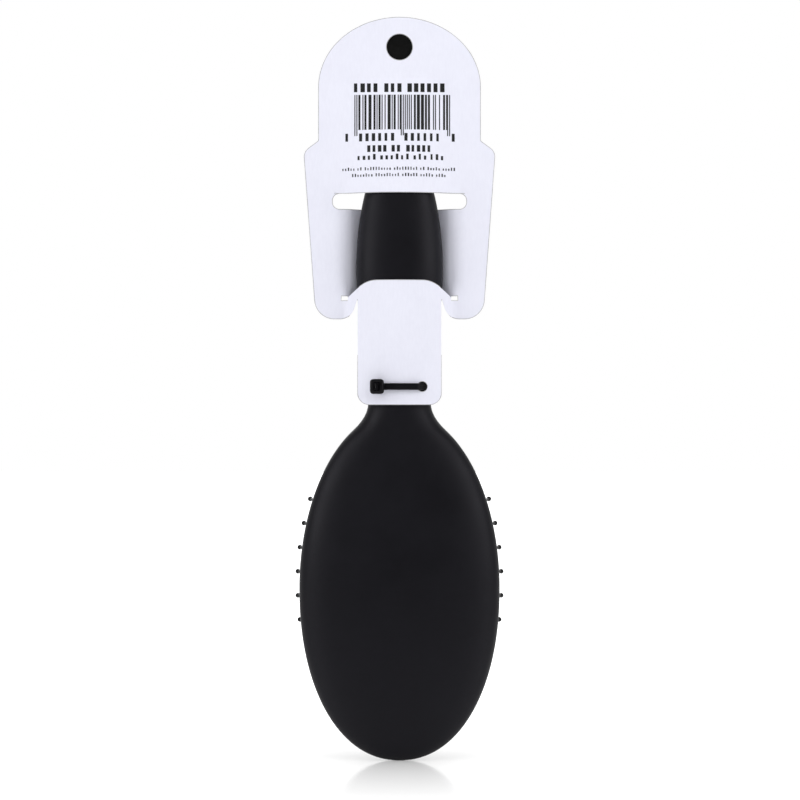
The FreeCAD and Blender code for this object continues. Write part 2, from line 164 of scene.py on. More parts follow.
def lintGroup():
    # sparse pale specks of dust caught on dark rubbery skins
    f = lintForm
    group, given, made = newGroup("Lint", [
        ("Colour", "NodeSocketColor", (0.01, 0.01, 0.01, 1)),
        ("Lint colour", "NodeSocketColor", (0.12, 0.12, 0.12, 1)),
        ("Speck scale", "NodeSocketFloat", 900.0),
        ("Amount", "NodeSocketFloat", 0.3)],
        [("Colour", "NodeSocketColor")])
    coords = addNode(group, "ShaderNodeTexCoord")
    cells = addNode(group, "ShaderNodeTexVoronoi", feature="F1")
    group.links.new(coords.outputs["Object"], cells.inputs["Vector"])
    group.links.new(given.outputs["Speck scale"], cells.inputs["Scale"])
    speck = addRange(group, cells.outputs["Distance"], *f["speckSpan"], 1.0, 0.0)
    patches = addNoise(group, f["patchScale"], f["patchDetail"])
    chosen = addRange(group, patches, *f["patchSpan"], 0.0, 1.0)
    kept = addMath(group, "MULTIPLY", speck, chosen)
    mask = addMath(group, "MULTIPLY", kept, given.outputs["Amount"], True)
    colour = addColourMix(group, mask, given.outputs["Colour"], given.outputs["Lint colour"])
    group.links.new(colour, made.inputs["Colour"])
    return group


fibreForm = {
    "stretch": (1.0, 1.0, 0.28), "slant": (0.0, 0.5, 0.0), "fibreDetail": 3.0,
    "cloudScale": 90.0, "cloudDetail": 2.0, "fibreShare": 0.6, "cloudShare": 0.4,
    "toneSpan": (0.36, 0.62), "roughSpan": (0.3, 0.7),
}


def paperFibreGroup():
    # short pressed fibres and a faint cloudy formation, as in coated board
    f = fibreForm
    group, given, made = newGroup("Paper fibre", [
        ("Pale", "NodeSocketColor", (0.82, 0.82, 0.9, 1)),
        ("Shade", "NodeSocketColor", (0.76, 0.76, 0.84, 1)),
        ("Fibre scale", "NodeSocketFloat", 1400.0),
        ("Rough low", "NodeSocketFloat", 0.5),
        ("Rough high", "NodeSocketFloat", 0.65)],
        [("Colour", "NodeSocketColor"), ("Roughness", "NodeSocketFloat"), ("Height", "NodeSocketFloat")])
    coords = addNode(group, "ShaderNodeTexCoord")
    stretch = addNode(group, "ShaderNodeMapping")
    stretch.inputs["Scale"].default_value = f["stretch"]
    stretch.inputs["Rotation"].default_value = f["slant"]
    group.links.new(coords.outputs["Object"], stretch.inputs["Vector"])
    fibre = addNode(group, "ShaderNodeTexNoise")
    fibre.inputs["Detail"].default_value = f["fibreDetail"]
    group.links.new(stretch.outputs[0], fibre.inputs["Vector"])
    group.links.new(given.outputs["Fibre scale"], fibre.inputs["Scale"])
    cloud = addNoise(group, f["cloudScale"], f["cloudDetail"])
    tone = addMath(group, "ADD", addMath(group, "MULTIPLY", fibre.outputs["Fac"], f["fibreShare"]),
                   addMath(group, "MULTIPLY", cloud, f["cloudShare"]))
    tone = addRange(group, tone, *f["toneSpan"], 0.0, 1.0)
    colour = addColourMix(group, tone, given.outputs["Shade"], given.outputs["Pale"])
    rough = addRange(group, cloud, *f["roughSpan"], given.outputs["Rough low"], given.outputs["Rough high"])
    group.links.new(colour, made.inputs["Colour"])
    group.links.new(rough, made.inputs["Roughness"])
    group.links.new(fibre.outputs["Fac"], made.inputs["Height"])
    return group


groups = {"grain": mouldGrainGroup(), "lint": lintGroup(), "fibre": paperFibreGroup()}


def startMaterial(name):
    material = bpy.data.materials.new(name)
    material.use_nodes = True
    return material, material.node_tree, material.node_tree.nodes["Principled BSDF"]


def placeGroup(tree, group, values):
    node = addNode(tree, "ShaderNodeGroup", node_tree=group)
    for label, value in values.items():
        node.inputs[label].default_value = value
    return node


def bumpInto(tree, shader, height, depth, strength):
    bump = addNode(tree, "ShaderNodeBump")
    bump.inputs["Strength"].default_value = strength
    bump.inputs["Distance"].default_value = depth * mm
    tree.links.new(height, bump.inputs["Height"])
    tree.links.new(bump.outputs[0], shader.inputs["Normal"])


def lookMaterial(name, look):
    # a look holds the values of its grain or fibre group, and of lint where dust shows
    material, tree, shader = startMaterial(name)
    kind = "grain" if "grain" in look else "fibre"
    skin = placeGroup(tree, groups[kind], look[kind])
    colour = skin.outputs["Colour"]
    if "lint" in look:
        lint = placeGroup(tree, groups["lint"], look["lint"])
        tree.links.new(colour, lint.inputs["Colour"])
        colour = lint.outputs["Colour"]
    tree.links.new(colour, shader.inputs["Base Color"])
    tree.links.new(skin.outputs["Roughness"], shader.inputs["Roughness"])
    bumpInto(tree, shader, skin.outputs["Height"], look["bumpDepth"], look["bumpStrength"])
    for label, value in look["shader"].items():
        shader.inputs[label].default_value = value
    return material


# a finished shape becomes a piece that rides its body

def finishPiece(name, shape, materials, body, replaced, sharpAngle):
    bmesh.ops.remove_doubles(shape, verts=shape.verts, dist=weld)
    bmesh.ops.dissolve_degenerate(shape, edges=shape.edges, dist=weld)
    bmesh.ops.recalc_face_normals(shape, faces=shape.faces)
    mesh = bpy.data.meshes.new(name)
    shape.to_mesh(mesh)
    shape.free()
    for material in materials:
        mesh.materials.append(material)
    mesh.polygons.foreach_set("use_smooth", [True] * len(mesh.polygons))
    mesh.set_sharp_from_angle(angle=math.radians(sharpAngle))
    piece = bpy.data.objects.new(name, mesh)
    bpy.context.scene.collection.objects.link(piece)
    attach(piece, body)
    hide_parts(*replaced)
    return piece


def addFace(shape, corners, material=0):
    kept = []
    for corner in corners:
        if corner not in kept:
            kept.append(corner)
    if len(kept) > 2 and not shape.faces.get(kept):
        shape.faces.new(kept).material_index = material


def addStrip(shape, first, second, closed=False, material=0):
    last = len(first) if closed else len(first) - 1
    for i in range(last):
        j = (i + 1) % len(first)
        addFace(shape, (first[i], first[j], second[j], second[i]), material)


# brush body: the two shells share one outline; millimetres from the head's widest line

bodyForm = {
    "headHalf": 33.0, "headLower": 56.7, "headUpper": 58.6, "headBlend": 51.98,
    "neckHalf": 10.3, "neckHeight": 61.0,
    "gripHalf": 14.3, "gripHeight": 104.0, "endHeight": 147.0,
    "backDepth": 10.5, "frontDepth": 6.2, "neckDepth": 7.0, "gripDepth": 8.5,
    "tipPower": 2.15, "backPower": 2.3, "frontPower": 3.0,
    "seamGap": 0.16, "seamStep": 0.07, "seamDepth": 0.34, "seamLipShare": 0.4, "flatGap": 0.01,
    "gapShare": 0.3, "stepShare": 0.2, "depthShare": 0.5,  # the seam's limits where the body runs out
    "headRows": 34, "neckRows": 40, "handleRows": 26, "across": 72, "sharpAngle": 40,
}

softTouchLook = {
    "grain": {"Dark": (0.0023, 0.0022, 0.0037, 1), "Light": (0.004, 0.0039, 0.0062, 1), "Grain scale": 5200.0,
              "Drift scale": 55.0, "Rough low": 0.43, "Rough high": 0.51},
    "lint": {"Lint colour": (0.04, 0.04, 0.042, 1), "Speck scale": 820.0, "Amount": 0.2},
    "bumpDepth": 0.02, "bumpStrength": 0.35,
    "shader": {"Specular IOR Level": 0.245, "Specular Tint": (0.93, 0.91, 1.0, 1), "Sheen Weight": 0.02,
               "Sheen Roughness": 0.4},
}


def superellipse(share, power):
    return max(0.0, 1 - abs(share) ** power) ** (1 / power)


def halfWidth(z):
    f = bodyForm
    if z <= 0:
        return f["headHalf"] * superellipse(z / f["headLower"], f["tipPower"])
    if z <= f["headBlend"]:
        return f["headHalf"] * superellipse(z / f["headUpper"], 2)
    if z <= f["neckHeight"]:
        start = f["headHalf"] * superellipse(f["headBlend"] / f["headUpper"], 2)
        slope = -f["headHalf"] ** 2 * f["headBlend"] / (f["headUpper"] ** 2 * start)
        span = f["neckHeight"] - f["headBlend"]
        t = (z - f["headBlend"]) / span
        return mix(start, f["neckHalf"], ease(t)) + slope * span * t * (1 - t) ** 2
    if z <= f["gripHeight"]:
        share = (z - f["neckHeight"]) / (f["gripHeight"] - f["neckHeight"])
        return mix(f["neckHalf"], f["gripHalf"], ease(share))
    return f["gripHalf"] * superellipse((z - f["gripHeight"]) / (f["endHeight"] - f["gripHeight"]), 2)


def bodyDepth(z, headDepth, power):
    f = bodyForm
    if z <= 0:
        return headDepth * superellipse(z / f["headLower"], power)
    if z <= f["neckHeight"]:
        return mix(headDepth, f["neckDepth"], ease(z / f["neckHeight"]))
    if z <= f["gripHeight"]:
        share = (z - f["neckHeight"]) / (f["gripHeight"] - f["neckHeight"])
        return mix(f["neckDepth"], f["gripDepth"], ease(share))
    return f["gripDepth"] * superellipse((z - f["gripHeight"]) / (f["endHeight"] - f["gripHeight"]), 2)


def sideForm(z, side):
    # half width, depth, section power and seam gap at a height, for the back (-1) or the front (+1)
    f = bodyForm
    headDepth, power = f["backDepth"], f["backPower"]
    if side > 0:
        headDepth, power = f["frontDepth"], f["frontPower"]
    depth = bodyDepth(z, headDepth, power)
    sectionPower = mix(power, 2.0, ease(z / f["neckHeight"]))  # 2 is the handle's plain ellipse
    return halfWidth(z), depth, sectionPower, min(f["seamGap"], f["gapShare"] * depth)


def skinPoint(z, turn, side):
    width, depth, power, gap = sideForm(z, side)
    c, s = math.cos(turn), math.sin(turn)
    reach = (abs(c) ** power + abs(s) ** power) ** (-1 / power)
    return toFrame(width * reach * c, side * (gap + (depth - gap) * reach * abs(s)), z)


def seamPoints(z, hand, side):
    f = bodyForm
    width, _, _, gap = sideForm(z, side)
    step = min(f["seamStep"], f["stepShare"] * width)
    inset = min(f["seamDepth"], f["depthShare"] * width)
    return (toFrame(hand * (width - step), side * gap * f["seamLipShare"], z),
            toFrame(hand * (width - inset), side * f["flatGap"] * min(1.0, width), z))


def handleHeights():
    f = bodyForm
    steps = f["handleRows"]
    rows = [mix(f["neckHeight"], f["gripHeight"], k / steps) for k in range(steps)]
    span = f["endHeight"] - f["gripHeight"]
    return rows + [f["gripHeight"] + span * math.sin(math.pi / 2 * k / steps) for k in range(steps + 1)]


def buildBackShell(material):
    f = bodyForm
    headRows, neckRows, across = f["headRows"], f["neckRows"], f["across"]
    heights = [-f["headLower"] * math.cos(math.pi / 2 * k / headRows) for k in range(headRows)]
    heights += [f["neckHeight"] * k / neckRows for k in range(neckRows)] + handleHeights()
    shape = bmesh.new()
    rows, seams = [], []
    for z in heights:
        rows.append([shape.verts.new(skinPoint(z, math.pi * k / across, -1)) for k in range(across + 1)])
        right = [shape.verts.new(p) for p in seamPoints(z, 1, -1)]
        left = [shape.verts.new(p) for p in seamPoints(z, -1, -1)]
        seams.append((right, left))
    for i in range(len(rows) - 1):
        addStrip(shape, rows[i], rows[i + 1])
        (right, left), (nextRight, nextLeft) = seams[i], seams[i + 1]
        addStrip(shape, [rows[i][0]] + right, [rows[i + 1][0]] + nextRight)
        addStrip(shape, [rows[i][-1]] + left, [rows[i + 1][-1]] + nextLeft)
        addFace(shape, (right[-1], left[-1], nextLeft[-1], nextRight[-1]))
    finishPiece("soft_touch_back", shape, [material], "brush_body", ["back_shell"],
                f["sharpAngle"])


openingForm = {
    "halfWidth": 27.2, "halfLength": 48.0, "centre": 2.0, "lipRadius": 0.75, "wallFoot": 1.6,
    "around": 288, "topSteps": 20, "tipSteps": 26, "lipSteps": 5, "bands": 22, "easeShare": 0.35,
}


def openingPoint(turn, outward):
    x = (openingForm["halfWidth"] + outward) * math.sin(turn)
    return x, openingForm["centre"] + (openingForm["halfLength"] + outward) * math.cos(turn)


def frontDepthAt(x, z):
    width, depth, power, gap = sideForm(z, 1)
    return gap + (depth - gap) * superellipse(min(1.0, abs(x) / width), power)


def frontTurn(x, z):
    width, _, power, _ = sideForm(z, 1)
    return math.atan2(superellipse(min(1.0, abs(x) / width), power), x / width)


def bezelOuter(i):
    # where the spoke at step i round the opening ends: neck line, seam or tip, as (height, turn)
    f = bodyForm
    around, topSteps, tipSteps = (openingForm[label] for label in ("around", "topSteps", "tipSteps"))
    half = around // 2
    k = i if i <= half else around - i
    if k <= topSteps:
        turn = math.pi / 2 * (1 - k / topSteps)
        end = (f["neckHeight"], turn)
    elif k >= half - tipSteps:
        end = (-f["headLower"], math.pi / 2 * (k - half + tipSteps) / tipSteps)
    else:
        start, stop = (math.cos(2 * math.pi * s / around) for s in (topSteps, half - tipSteps))
        share = (start - math.cos(2 * math.pi * k / around)) / (start - stop)
        end = (mix(f["neckHeight"], -f["headLower"], share), 0.0)
    return end if i <= half else (end[0], math.pi - end[1])


def buildFrontShell(material):
    around, topSteps, tipSteps = (openingForm[label] for label in ("around", "topSteps", "tipSteps"))
    lip, lipSteps, bands = (openingForm[label] for label in ("lipRadius", "lipSteps", "bands"))
    shape = bmesh.new()
    rings = [[] for _ in range(lipSteps + 2 + bands)]
    ends = []
    for i in range(around):
        turn = 2 * math.pi * i / around
        x, z = openingPoint(turn, 0)
        outX, outZ = openingPoint(turn, lip)
        crest = frontDepthAt(outX, outZ)
        rings[0].append(shape.verts.new(toFrame(x, openingForm["wallFoot"], z)))
        for k in range(lipSteps + 1):
            a = math.pi / 2 * k / lipSteps
            ex, ez = openingPoint(turn, lip * (1 - math.cos(a)))
            rings[1 + k].append(shape.verts.new(toFrame(ex, crest - lip + lip * math.sin(a), ez)))
        endZ, endTurn = bezelOuter(i)
        ends.append(endZ)
        startTurn = frontTurn(outX, outZ)
        for k in range(1, bands + 1):
            share = mix(k / bands, ease(k / bands), openingForm["easeShare"])
            point = skinPoint(mix(outZ, endZ, share), mix(startTurn, endTurn, share), 1)
            rings[lipSteps + 1 + k].append(shape.verts.new(point))
    for first, second in zip(rings, rings[1:]):
        addStrip(shape, first, second, True)

    rim = rings[-1]
    half = around // 2
    neckOrder = list(range(topSteps, -1, -1)) + list(range(around - 1, around - topSteps - 1, -1))
    rows = [[rim[i] for i in neckOrder]]
    columns = len(neckOrder) - 1
    heights = handleHeights()
    for z in heights[1:]:
        rows.append([shape.verts.new(skinPoint(z, math.pi * k / columns, 1)) for k in range(columns + 1)])
    for first, second in zip(rows, rows[1:]):
        addStrip(shape, first, second)

    # seam step down both sides, then the flat that meets the back shell
    flatRing = [None] * around
    sides = {1: list(range(half - tipSteps, topSteps - 1, -1)),
             -1: list(range(half + tipSteps, around - topSteps + 1))}
    handleFlat = {}
    for hand, order in sides.items():
        chain = [[rim[i]] + [shape.verts.new(p) for p in seamPoints(ends[i], hand, 1)] for i in order]
        for i, verts in zip(order, chain):
            flatRing[i] = verts[-1]
        column = 0 if hand > 0 else -1
        up = [[row[column]] + [shape.verts.new(p) for p in seamPoints(z, hand, 1)]
              for row, z in zip(rows[1:], heights[1:])]
        for first, second in zip(chain + up, (chain + up)[1:]):
            addStrip(shape, first, second)
        handleFlat[hand] = [chain[-1][-1]] + [verts[-1] for verts in up]
    tip = flatRing[half - tipSteps]
    for i in range(half - tipSteps, half + tipSteps + 1):
        flatRing[i] = flatRing[i] or tip
    right, left = handleFlat[1][0].co, handleFlat[-1][0].co
    for k, i in enumerate(neckOrder):
        if flatRing[i] is None:
            flatRing[i] = shape.verts.new(right.lerp(left, k / columns))
    addStrip(shape, rings[0], flatRing, True)
    neckLine = [flatRing[i] for i in neckOrder]
    addFace(shape, neckLine + [handleFlat[-1][1], handleFlat[1][1]])
    for k in range(1, len(heights) - 1):
        addFace(shape, (handleFlat[1][k], handleFlat[-1][k], handleFlat[-1][k + 1], handleFlat[1][k + 1]))
    finishPiece("soft_touch_front", shape, [material], "brush_body", ["front_shell"],
                bodyForm["sharpAngle"])


softTouch = lookMaterial("Soft-touch coat", softTouchLook)
buildBackShell(softTouch)
buildFrontShell(softTouch)
print("shells built")


# pins and the cushion that holds them

pinForm = {
    "columns": 15, "rowPitch": 7.2, "length": 25.0, "rootRadius": 0.6, "tipRadius": 0.42, "ballRadius": 0.85,
    "fieldHalfWidth": 23.8, "fieldBottom": -38.0, "fieldTop": 47.0, "cornerShare": 0.8625, "bowLength": 62.4,
    "sideSplay": 25.5, "endSplay": 14.0, "splayPower": 3, "rootDepth": 2.8,
    "flares": [(0.25, 1.01, 0), (0.06, 1.1, 1)],  # below the ball: drop, share of the tip's radius, material
    "segments": 14, "shaftSteps": 6, "ballSteps": 9, "sharpAngle": 60,
}

cushionForm = {
    "halfWidth": 26.9, "halfLength": 47.7, "centre": 2.0, "base": 4.716, "crown": 6.5, "wallFoot": 2.1,
    "collarHeight": 0.55, "collarRadius": 2.0, "collarDip": 0.22, "collarCrest": 1.05, "collarClear": 0.35,
    "collarRings": (0.5, 0.8, 1.05, 1.25, 1.5, 1.75, 2.0), "collarSteps": 18,
    "ventHeight": -40.93, "ventDepth": 1.0, "ventClear": 1.8, "ventSteps": 20,
    "ventRings": [(0.6, -1.0), (0.8, -0.7), (0.8 * 1.05, -0.05), (1.0, 0.08), (1.3, 0.08), (1.6, 0.0)],
    "rimSteps": 240, "rings": 34, "spacing": 1.5, "planWeld": 1e-6, "sharpAngle": 60,
    "leastRise": 0.2,  # keeps the normal steady where the dome meets its rim
}

rubberLook = {
    "grain": {"Dark": (0.0075, 0.0075, 0.0082, 1), "Light": (0.0125, 0.0125, 0.0135, 1),
              "Grain scale": 2600.0, "Drift scale": 90.0, "Rough low": 0.4, "Rough high": 0.52},
    "lint": {"Lint colour": (0.07, 0.07, 0.07, 1), "Speck scale": 700.0, "Amount": 0.35},
    "bumpDepth": 0.02, "bumpStrength": 0.4,
    "shader": {"Specular IOR Level": 0.4},
}

pinLook = {
    "grain": {"Dark": (0.0075, 0.0075, 0.008, 1), "Light": (0.0115, 0.0115, 0.0125, 1), "Grain scale": 3800.0,
              "Drift scale": 160.0, "Rough low": 0.28, "Rough high": 0.38},
    "bumpDepth": 0.008, "bumpStrength": 0.3,
    "shader": {"Specular IOR Level": 0.3},
}

ballLook = {
    "grain": {"Dark": (0.005, 0.005, 0.0055, 1), "Light": (0.008, 0.008, 0.009, 1), "Grain scale": 3000.0,
              "Drift scale": 240.0, "Rough low": 0.26, "Rough high": 0.34},
    "bumpDepth": 0.004, "bumpStrength": 0.2,
    "shader": {"Specular IOR Level": 0.22},
}


def domeShare(x, z):
    f = cushionForm
    return (x / f["halfWidth"]) ** 2 + ((z - f["centre"]) / f["halfLength"]) ** 2


def domeHeight(x, z):
    return cushionForm["base"] + cushionForm["crown"] * math.sqrt(max(0.0, 1 - domeShare(x, z)))


def domeNormal(x, z):
    f = cushionForm
    y = domeHeight(x, z) - f["base"]
    return Vector((x / f["halfWidth"] ** 2, max(y, f["leastRise"]) / f["crown"] ** 2,
                   (z - f["centre"]) / f["halfLength"] ** 2)).normalized()


def columnPins(column):
    # seat on the dome and direction of each pin in one column, in mm
    f = pinForm
    middle = (f["columns"] - 1) // 2
    share = (column - middle) / middle
    stagger = 0.5 if (column - middle) % 2 else 0.0
    fieldCentre = (f["fieldTop"] + f["fieldBottom"]) / 2
    fieldHalf = (f["fieldTop"] - f["fieldBottom"]) / 2
    reach = fieldHalf * math.sqrt(1 - (share * f["cornerShare"]) ** 2)
    first = math.ceil((fieldCentre - reach) / f["rowPitch"] - stagger)
    last = math.floor((fieldCentre + reach) / f["rowPitch"] - stagger)
    pins = []
    for row in range(first, last + 1):
        z = (row + stagger) * f["rowPitch"]
        bow = superellipse(z / f["bowLength"], 2)
        x = share * bow * f["fieldHalfWidth"]
        lean = Vector((math.tan(math.radians(f["sideSplay"])) * share * bow ** f["splayPower"], 1.0,
                       math.tan(math.radians(f["endSplay"])) * (z - cushionForm["centre"]) / fieldHalf))
        pins.append((Vector((x, domeHeight(x, z), z)), lean.normalized()))
    return pins


def pinProfile():
    # (along, radius, material) from the root up to the ball
    f = pinForm
    neck = math.asin(f["tipRadius"] / f["ballRadius"])
    joint = f["length"] - f["ballRadius"] * math.cos(neck)
    profile = [(-f["rootDepth"], 0.0, 0), (-f["rootDepth"], f["rootRadius"], 0), (0.0, f["rootRadius"], 0)]
    for k in range(1, f["shaftSteps"]):
        share = k / f["shaftSteps"]
        profile.append((joint * share, mix(f["rootRadius"], f["tipRadius"], share), 0))
    profile += [(joint - drop, f["tipRadius"] * share, material) for drop, share, material in f["flares"]]
    steps = f["ballSteps"]
    for k in range(1, steps + 1):
        a = mix(neck, math.pi, k / steps)
        radius = 0.0 if k == steps else f["ballRadius"] * math.sin(a)
        profile.append((f["length"] - f["ballRadius"] * math.cos(a), radius, 1))
    return profile


def addLathe(shape, seat, axis, profile, segments):
    side = axis.orthogonal().normalized()
    other = axis.cross(side)
    rings = []
    for along, radius, _ in profile:
        centre = seat + axis * along
        if radius == 0:
            rings.append([shape.verts.new(toFrame(*centre))] * segments)
            continue
        ring = []
        for k in range(segments):
            a = 2 * math.pi * k / segments
            spot = centre + (side * math.cos(a) + other * math.sin(a)) * radius
            ring.append(shape.verts.new(toFrame(*spot)))
        rings.append(ring)
    for first, second, (_, _, material) in zip(rings, rings[1:], profile[1:]):
        addStrip(shape, first, second, True, material)


def buildPins(nylon, ball):
    profile = pinProfile()
    for column in range(pinForm["columns"]):
        shape = bmesh.new()
        for seat, axis in columnPins(column):
            addLathe(shape, seat, axis, profile, pinForm["segments"])
        number = "%02d" % (column + 1)
        finishPiece("pin_row_" + number, shape, [nylon, ball], "pins_" + number,
                    ["pin_column_" + number], pinForm["sharpAngle"])


def collarRise(distance):
    # height of the moulded ring round a pin, by distance from the pin's middle
    f = cushionForm
    crest = f["collarCrest"]
    if distance < crest:
        return f["collarHeight"] - f["collarDip"] * (1 - distance / crest) ** 2
    return f["collarHeight"] * (1 - ease((distance - crest) / (f["collarRadius"] - crest)))


def buildCushion(material):
    f = cushionForm
    seats = [(seat.x, seat.z) for column in range(pinForm["columns"]) for seat, _ in columnPins(column)]
    plan = []  # (x, z, rise along the dome's normal)
    rimSteps = f["rimSteps"]
    for k in range(rimSteps):
        a = 2 * math.pi * k / rimSteps
        plan.append((f["halfWidth"] * math.sin(a), f["centre"] + f["halfLength"] * math.cos(a), 0.0))
    clear = f["collarRadius"] + f["collarClear"]
    for ring in range(f["rings"]):
        radius = math.sin(math.pi / 2 * ring / f["rings"])
        steps = max(1, int(2 * math.pi * radius * (f["halfWidth"] + f["halfLength"]) / 2 / f["spacing"]))
        for k in range(steps):
            a = 2 * math.pi * (k + 0.5 * (ring % 2)) / steps
            x, z = f["halfWidth"] * radius * math.sin(a), f["centre"] + f["halfLength"] * radius * math.cos(a)
            if any((x - sx) ** 2 + (z - sz) ** 2 < clear ** 2 for sx, sz in seats):
                continue
            if math.hypot(x, z - f["ventHeight"]) < f["ventClear"]:
                continue
            plan.append((x, z, 0.0))
    for sx, sz in seats:
        plan.append((sx, sz, collarRise(0)))
        for radius in f["collarRings"]:
            for k in range(f["collarSteps"]):
                a = 2 * math.pi * k / f["collarSteps"]
                plan.append((sx + radius * math.sin(a), sz + radius * math.cos(a), collarRise(radius)))
    plan.append((0.0, f["ventHeight"], -f["ventDepth"]))
    for radius, rise in f["ventRings"]:
        for k in range(f["ventSteps"]):
            a = 2 * math.pi * k / f["ventSteps"]
            plan.append((radius * math.sin(a), f["ventHeight"] + radius * math.cos(a), rise))
    flat = [Vector((x, z)) for x, z, _ in plan]
    _, _, faces, origins, _, _ = delaunay_2d_cdt(flat, [], [], 0, f["planWeld"])
    shape = bmesh.new()
    verts = []
    for origin in origins:
        x, z, rise = plan[origin[0]]
        spot = Vector((x, domeHeight(x, z), z)) + domeNormal(x, z) * rise
        verts.append(shape.verts.new(toFrame(*spot)))
    for face in faces:
        addFace(shape, [verts[i] for i in face])
    order = {origin[0]: vert for vert, origin in zip(verts, origins)}
    rim = [order[k] for k in range(rimSteps)]
    foot = [shape.verts.new((v.co.x, f["wallFoot"] * mm, v.co.z)) for v in rim]
    addStrip(shape, rim, foot, True)
    shape.faces.new(foot)
    cushion = finishPiece("rubber_cushion", shape, [material], "brush_body", ["cushion"],
                          f["sharpAngle"])
    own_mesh(cushion)


buildPins(lookMaterial("Pin nylon", pinLook), lookMaterial("Ball tip", ballLook))
buildCushion(lookMaterial("Cushion rubber", rubberLook))
print("pins and cushion built")


# hang card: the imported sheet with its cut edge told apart, and the ink on it

cardLook = {
    "face": {"fibre": {"Pale": (0.86, 0.866, 0.97, 1), "Shade": (0.835, 0.84, 0.945, 1),
                       "Fibre scale": 1500.0, "Rough low": 0.42, "Rough high": 0.55},
             "bumpDepth": 0.008, "bumpStrength": 0.2,
             "shader": {"Specular IOR Level": 0.3}},
    # the cut edge's grey is partly the board's own core and partly painted shade, made darker so the edge
    # reads as a thin shaded line
    "coreAndEdgeShade": {"fibre": {"Pale": (0.6, 0.6, 0.62, 1), "Shade": (0.42, 0.42, 0.44, 1),
                       "Fibre scale": 5200.0, "Rough low": 0.75, "Rough high": 0.9},
             "bumpDepth": 0.03, "bumpStrength": 0.6,
             "shader": {"Specular IOR Level": 0.2}},
    "sheetWeld": 0.001, "probe": 0.01, "skinReach": 0.75,  # tells the sheet's faces from its cut edge
    "beadReach": 0.11, "beadRise": 0.05, "beadSides": 8, "sharpAngle": 25,
}

# the strip behind the handle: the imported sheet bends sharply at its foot, a real card eases into the bow
stripForm = {
    "rise": 9.05, "crownRadius": 21.0, "packedFoot": 19.2, "easedFoot": 22.0,
    "lowEnd": -82.7, "lowBlend": 6.0, "topEnd": -53.4, "topBlend": 2.0,
    "cutsFrom": 14.7, "cuts": 14, "blendCuts": 6, "skin": 0.26,
    "slitHalf": 17.2, "slitTop": -76.4, "slitDrop": 0.6,
}


def bowDepth(x, foot):
    f = stripForm
    footRadius = (foot * foot / f["rise"] + f["rise"]) / 2 - f["crownRadius"]
    angle = math.atan2(foot, footRadius + f["crownRadius"] - f["rise"])
    if x < f["crownRadius"] * math.sin(angle):
        return f["rise"] - f["crownRadius"] + math.sqrt(f["crownRadius"] ** 2 - x * x)
    return footRadius - math.sqrt(footRadius ** 2 - max(0, foot - x) ** 2)


def cutAcross(shape, place, across):
    bmesh.ops.bisect_plane(shape, geom=shape.verts[:] + shape.edges[:] + shape.faces[:], dist=weld,
                           plane_co=place, plane_no=across)


def easeStrip(shape):
    f = stripForm
    for k in range(f["cuts"] + 1):
        x = mix(f["cutsFrom"], f["easedFoot"], k / f["cuts"]) * mm
        cutAcross(shape, (x, 0, 0), (1, 0, 0))
        cutAcross(shape, (-x, 0, 0), (1, 0, 0))
    for k in range(f["blendCuts"] + 1):
        cutAcross(shape, (0, 0, (f["lowEnd"] + f["lowBlend"] * k / f["blendCuts"]) * mm), (0, 0, 1))
    for vert in shape.verts:
        x, z = abs(vert.co.x) / mm, vert.co.z / mm
        if vert.co.y > -f["skin"] * mm and f["cutsFrom"] < x < f["easedFoot"]:
            low = ease((z - f["lowEnd"]) / f["lowBlend"])
            top = ease((f["topEnd"] + f["topBlend"] - z) / f["topBlend"])
            vert.co.y += (bowDepth(x, f["easedFoot"]) - bowDepth(x, f["packedFoot"])) * low * top * mm
        if x < f["slitHalf"] and f["lowEnd"] < z < f["slitTop"] + f["slitDrop"]:  # both lips of the slit
            vert.co.z -= f["slitDrop"] * ease((z - f["lowEnd"]) / (f["slitTop"] - f["lowEnd"])) * mm


def addRimBead(shape, rim):
    # a fine raised bead along the die cut, in the grey edge material, as painted shade that draws the cut
    # edge as a thin line: a small ring about each corner of the rim, joined along its edges
    rings = {}
    for vert in dict.fromkeys(vert for edge in rim for vert in edge.verts):
        up, out = Vector(), Vector()
        for part in vert.link_faces:
            if part.material_index == 0:
                up += part.normal
            else:
                out += part.normal
        up = up.normalized() * cardLook["beadRise"] * mm
        out = out.normalized() * cardLook["beadReach"] * mm
        turns = [2 * math.pi * k / cardLook["beadSides"] for k in range(cardLook["beadSides"])]
        rings[vert] = [vert.co + out * math.cos(turn) + up * math.sin(turn) for turn in turns]
    rings = {vert: [shape.verts.new(point) for point in ring] for vert, ring in rings.items()}
    for edge in rim:
        addStrip(shape, rings[edge.verts[0]], rings[edge.verts[1]], True, 1)


def buildCard(face, coreAndEdgeShade):
    shape = bmesh.new()
    shape.from_mesh(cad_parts["hang_card"].data)
    bmesh.ops.remove_doubles(shape, verts=shape.verts, dist=cardLook["sheetWeld"] * mm)
    bmesh.ops.recalc_face_normals(shape, faces=shape.faces)
    tree = BVHTree.FromBMesh(shape)
    for part in shape.faces:
        inward = -part.normal
        hit = tree.ray_cast(part.calc_center_median() + inward * cardLook["probe"] * mm, inward)
        thin = hit[0] is not None and hit[3] < cardLook["skinReach"] * mm
        part.material_index = 0 if thin else 1
    easeStrip(shape)
    bmesh.ops.recalc_face_normals(shape, faces=shape.faces)
    addRimBead(shape, [edge for edge in shape.edges
                       if len({part.material_index for part in edge.link_faces}) == 2])
    card = finishPiece("white_card", shape, [face, coreAndEdgeShade], "brush_body", ["hang_card"],
                       cardLook["sharpAngle"])
    evened = card.modifiers.new("Even shading", "WEIGHTED_NORMAL")
    evened.keep_sharp = True
    return tree


inkLook = {
    "grain": {"Dark": (0.006, 0.006, 0.0065, 1), "Light": (0.016, 0.016, 0.017, 1), "Grain scale": 4200.0,
              "Drift scale": 300.0, "Rough low": 0.45, "Rough high": 0.6},
    "bumpDepth": 0.004, "bumpStrength": 0.2,
    "shader": {"Specular IOR Level": 0.35},
}

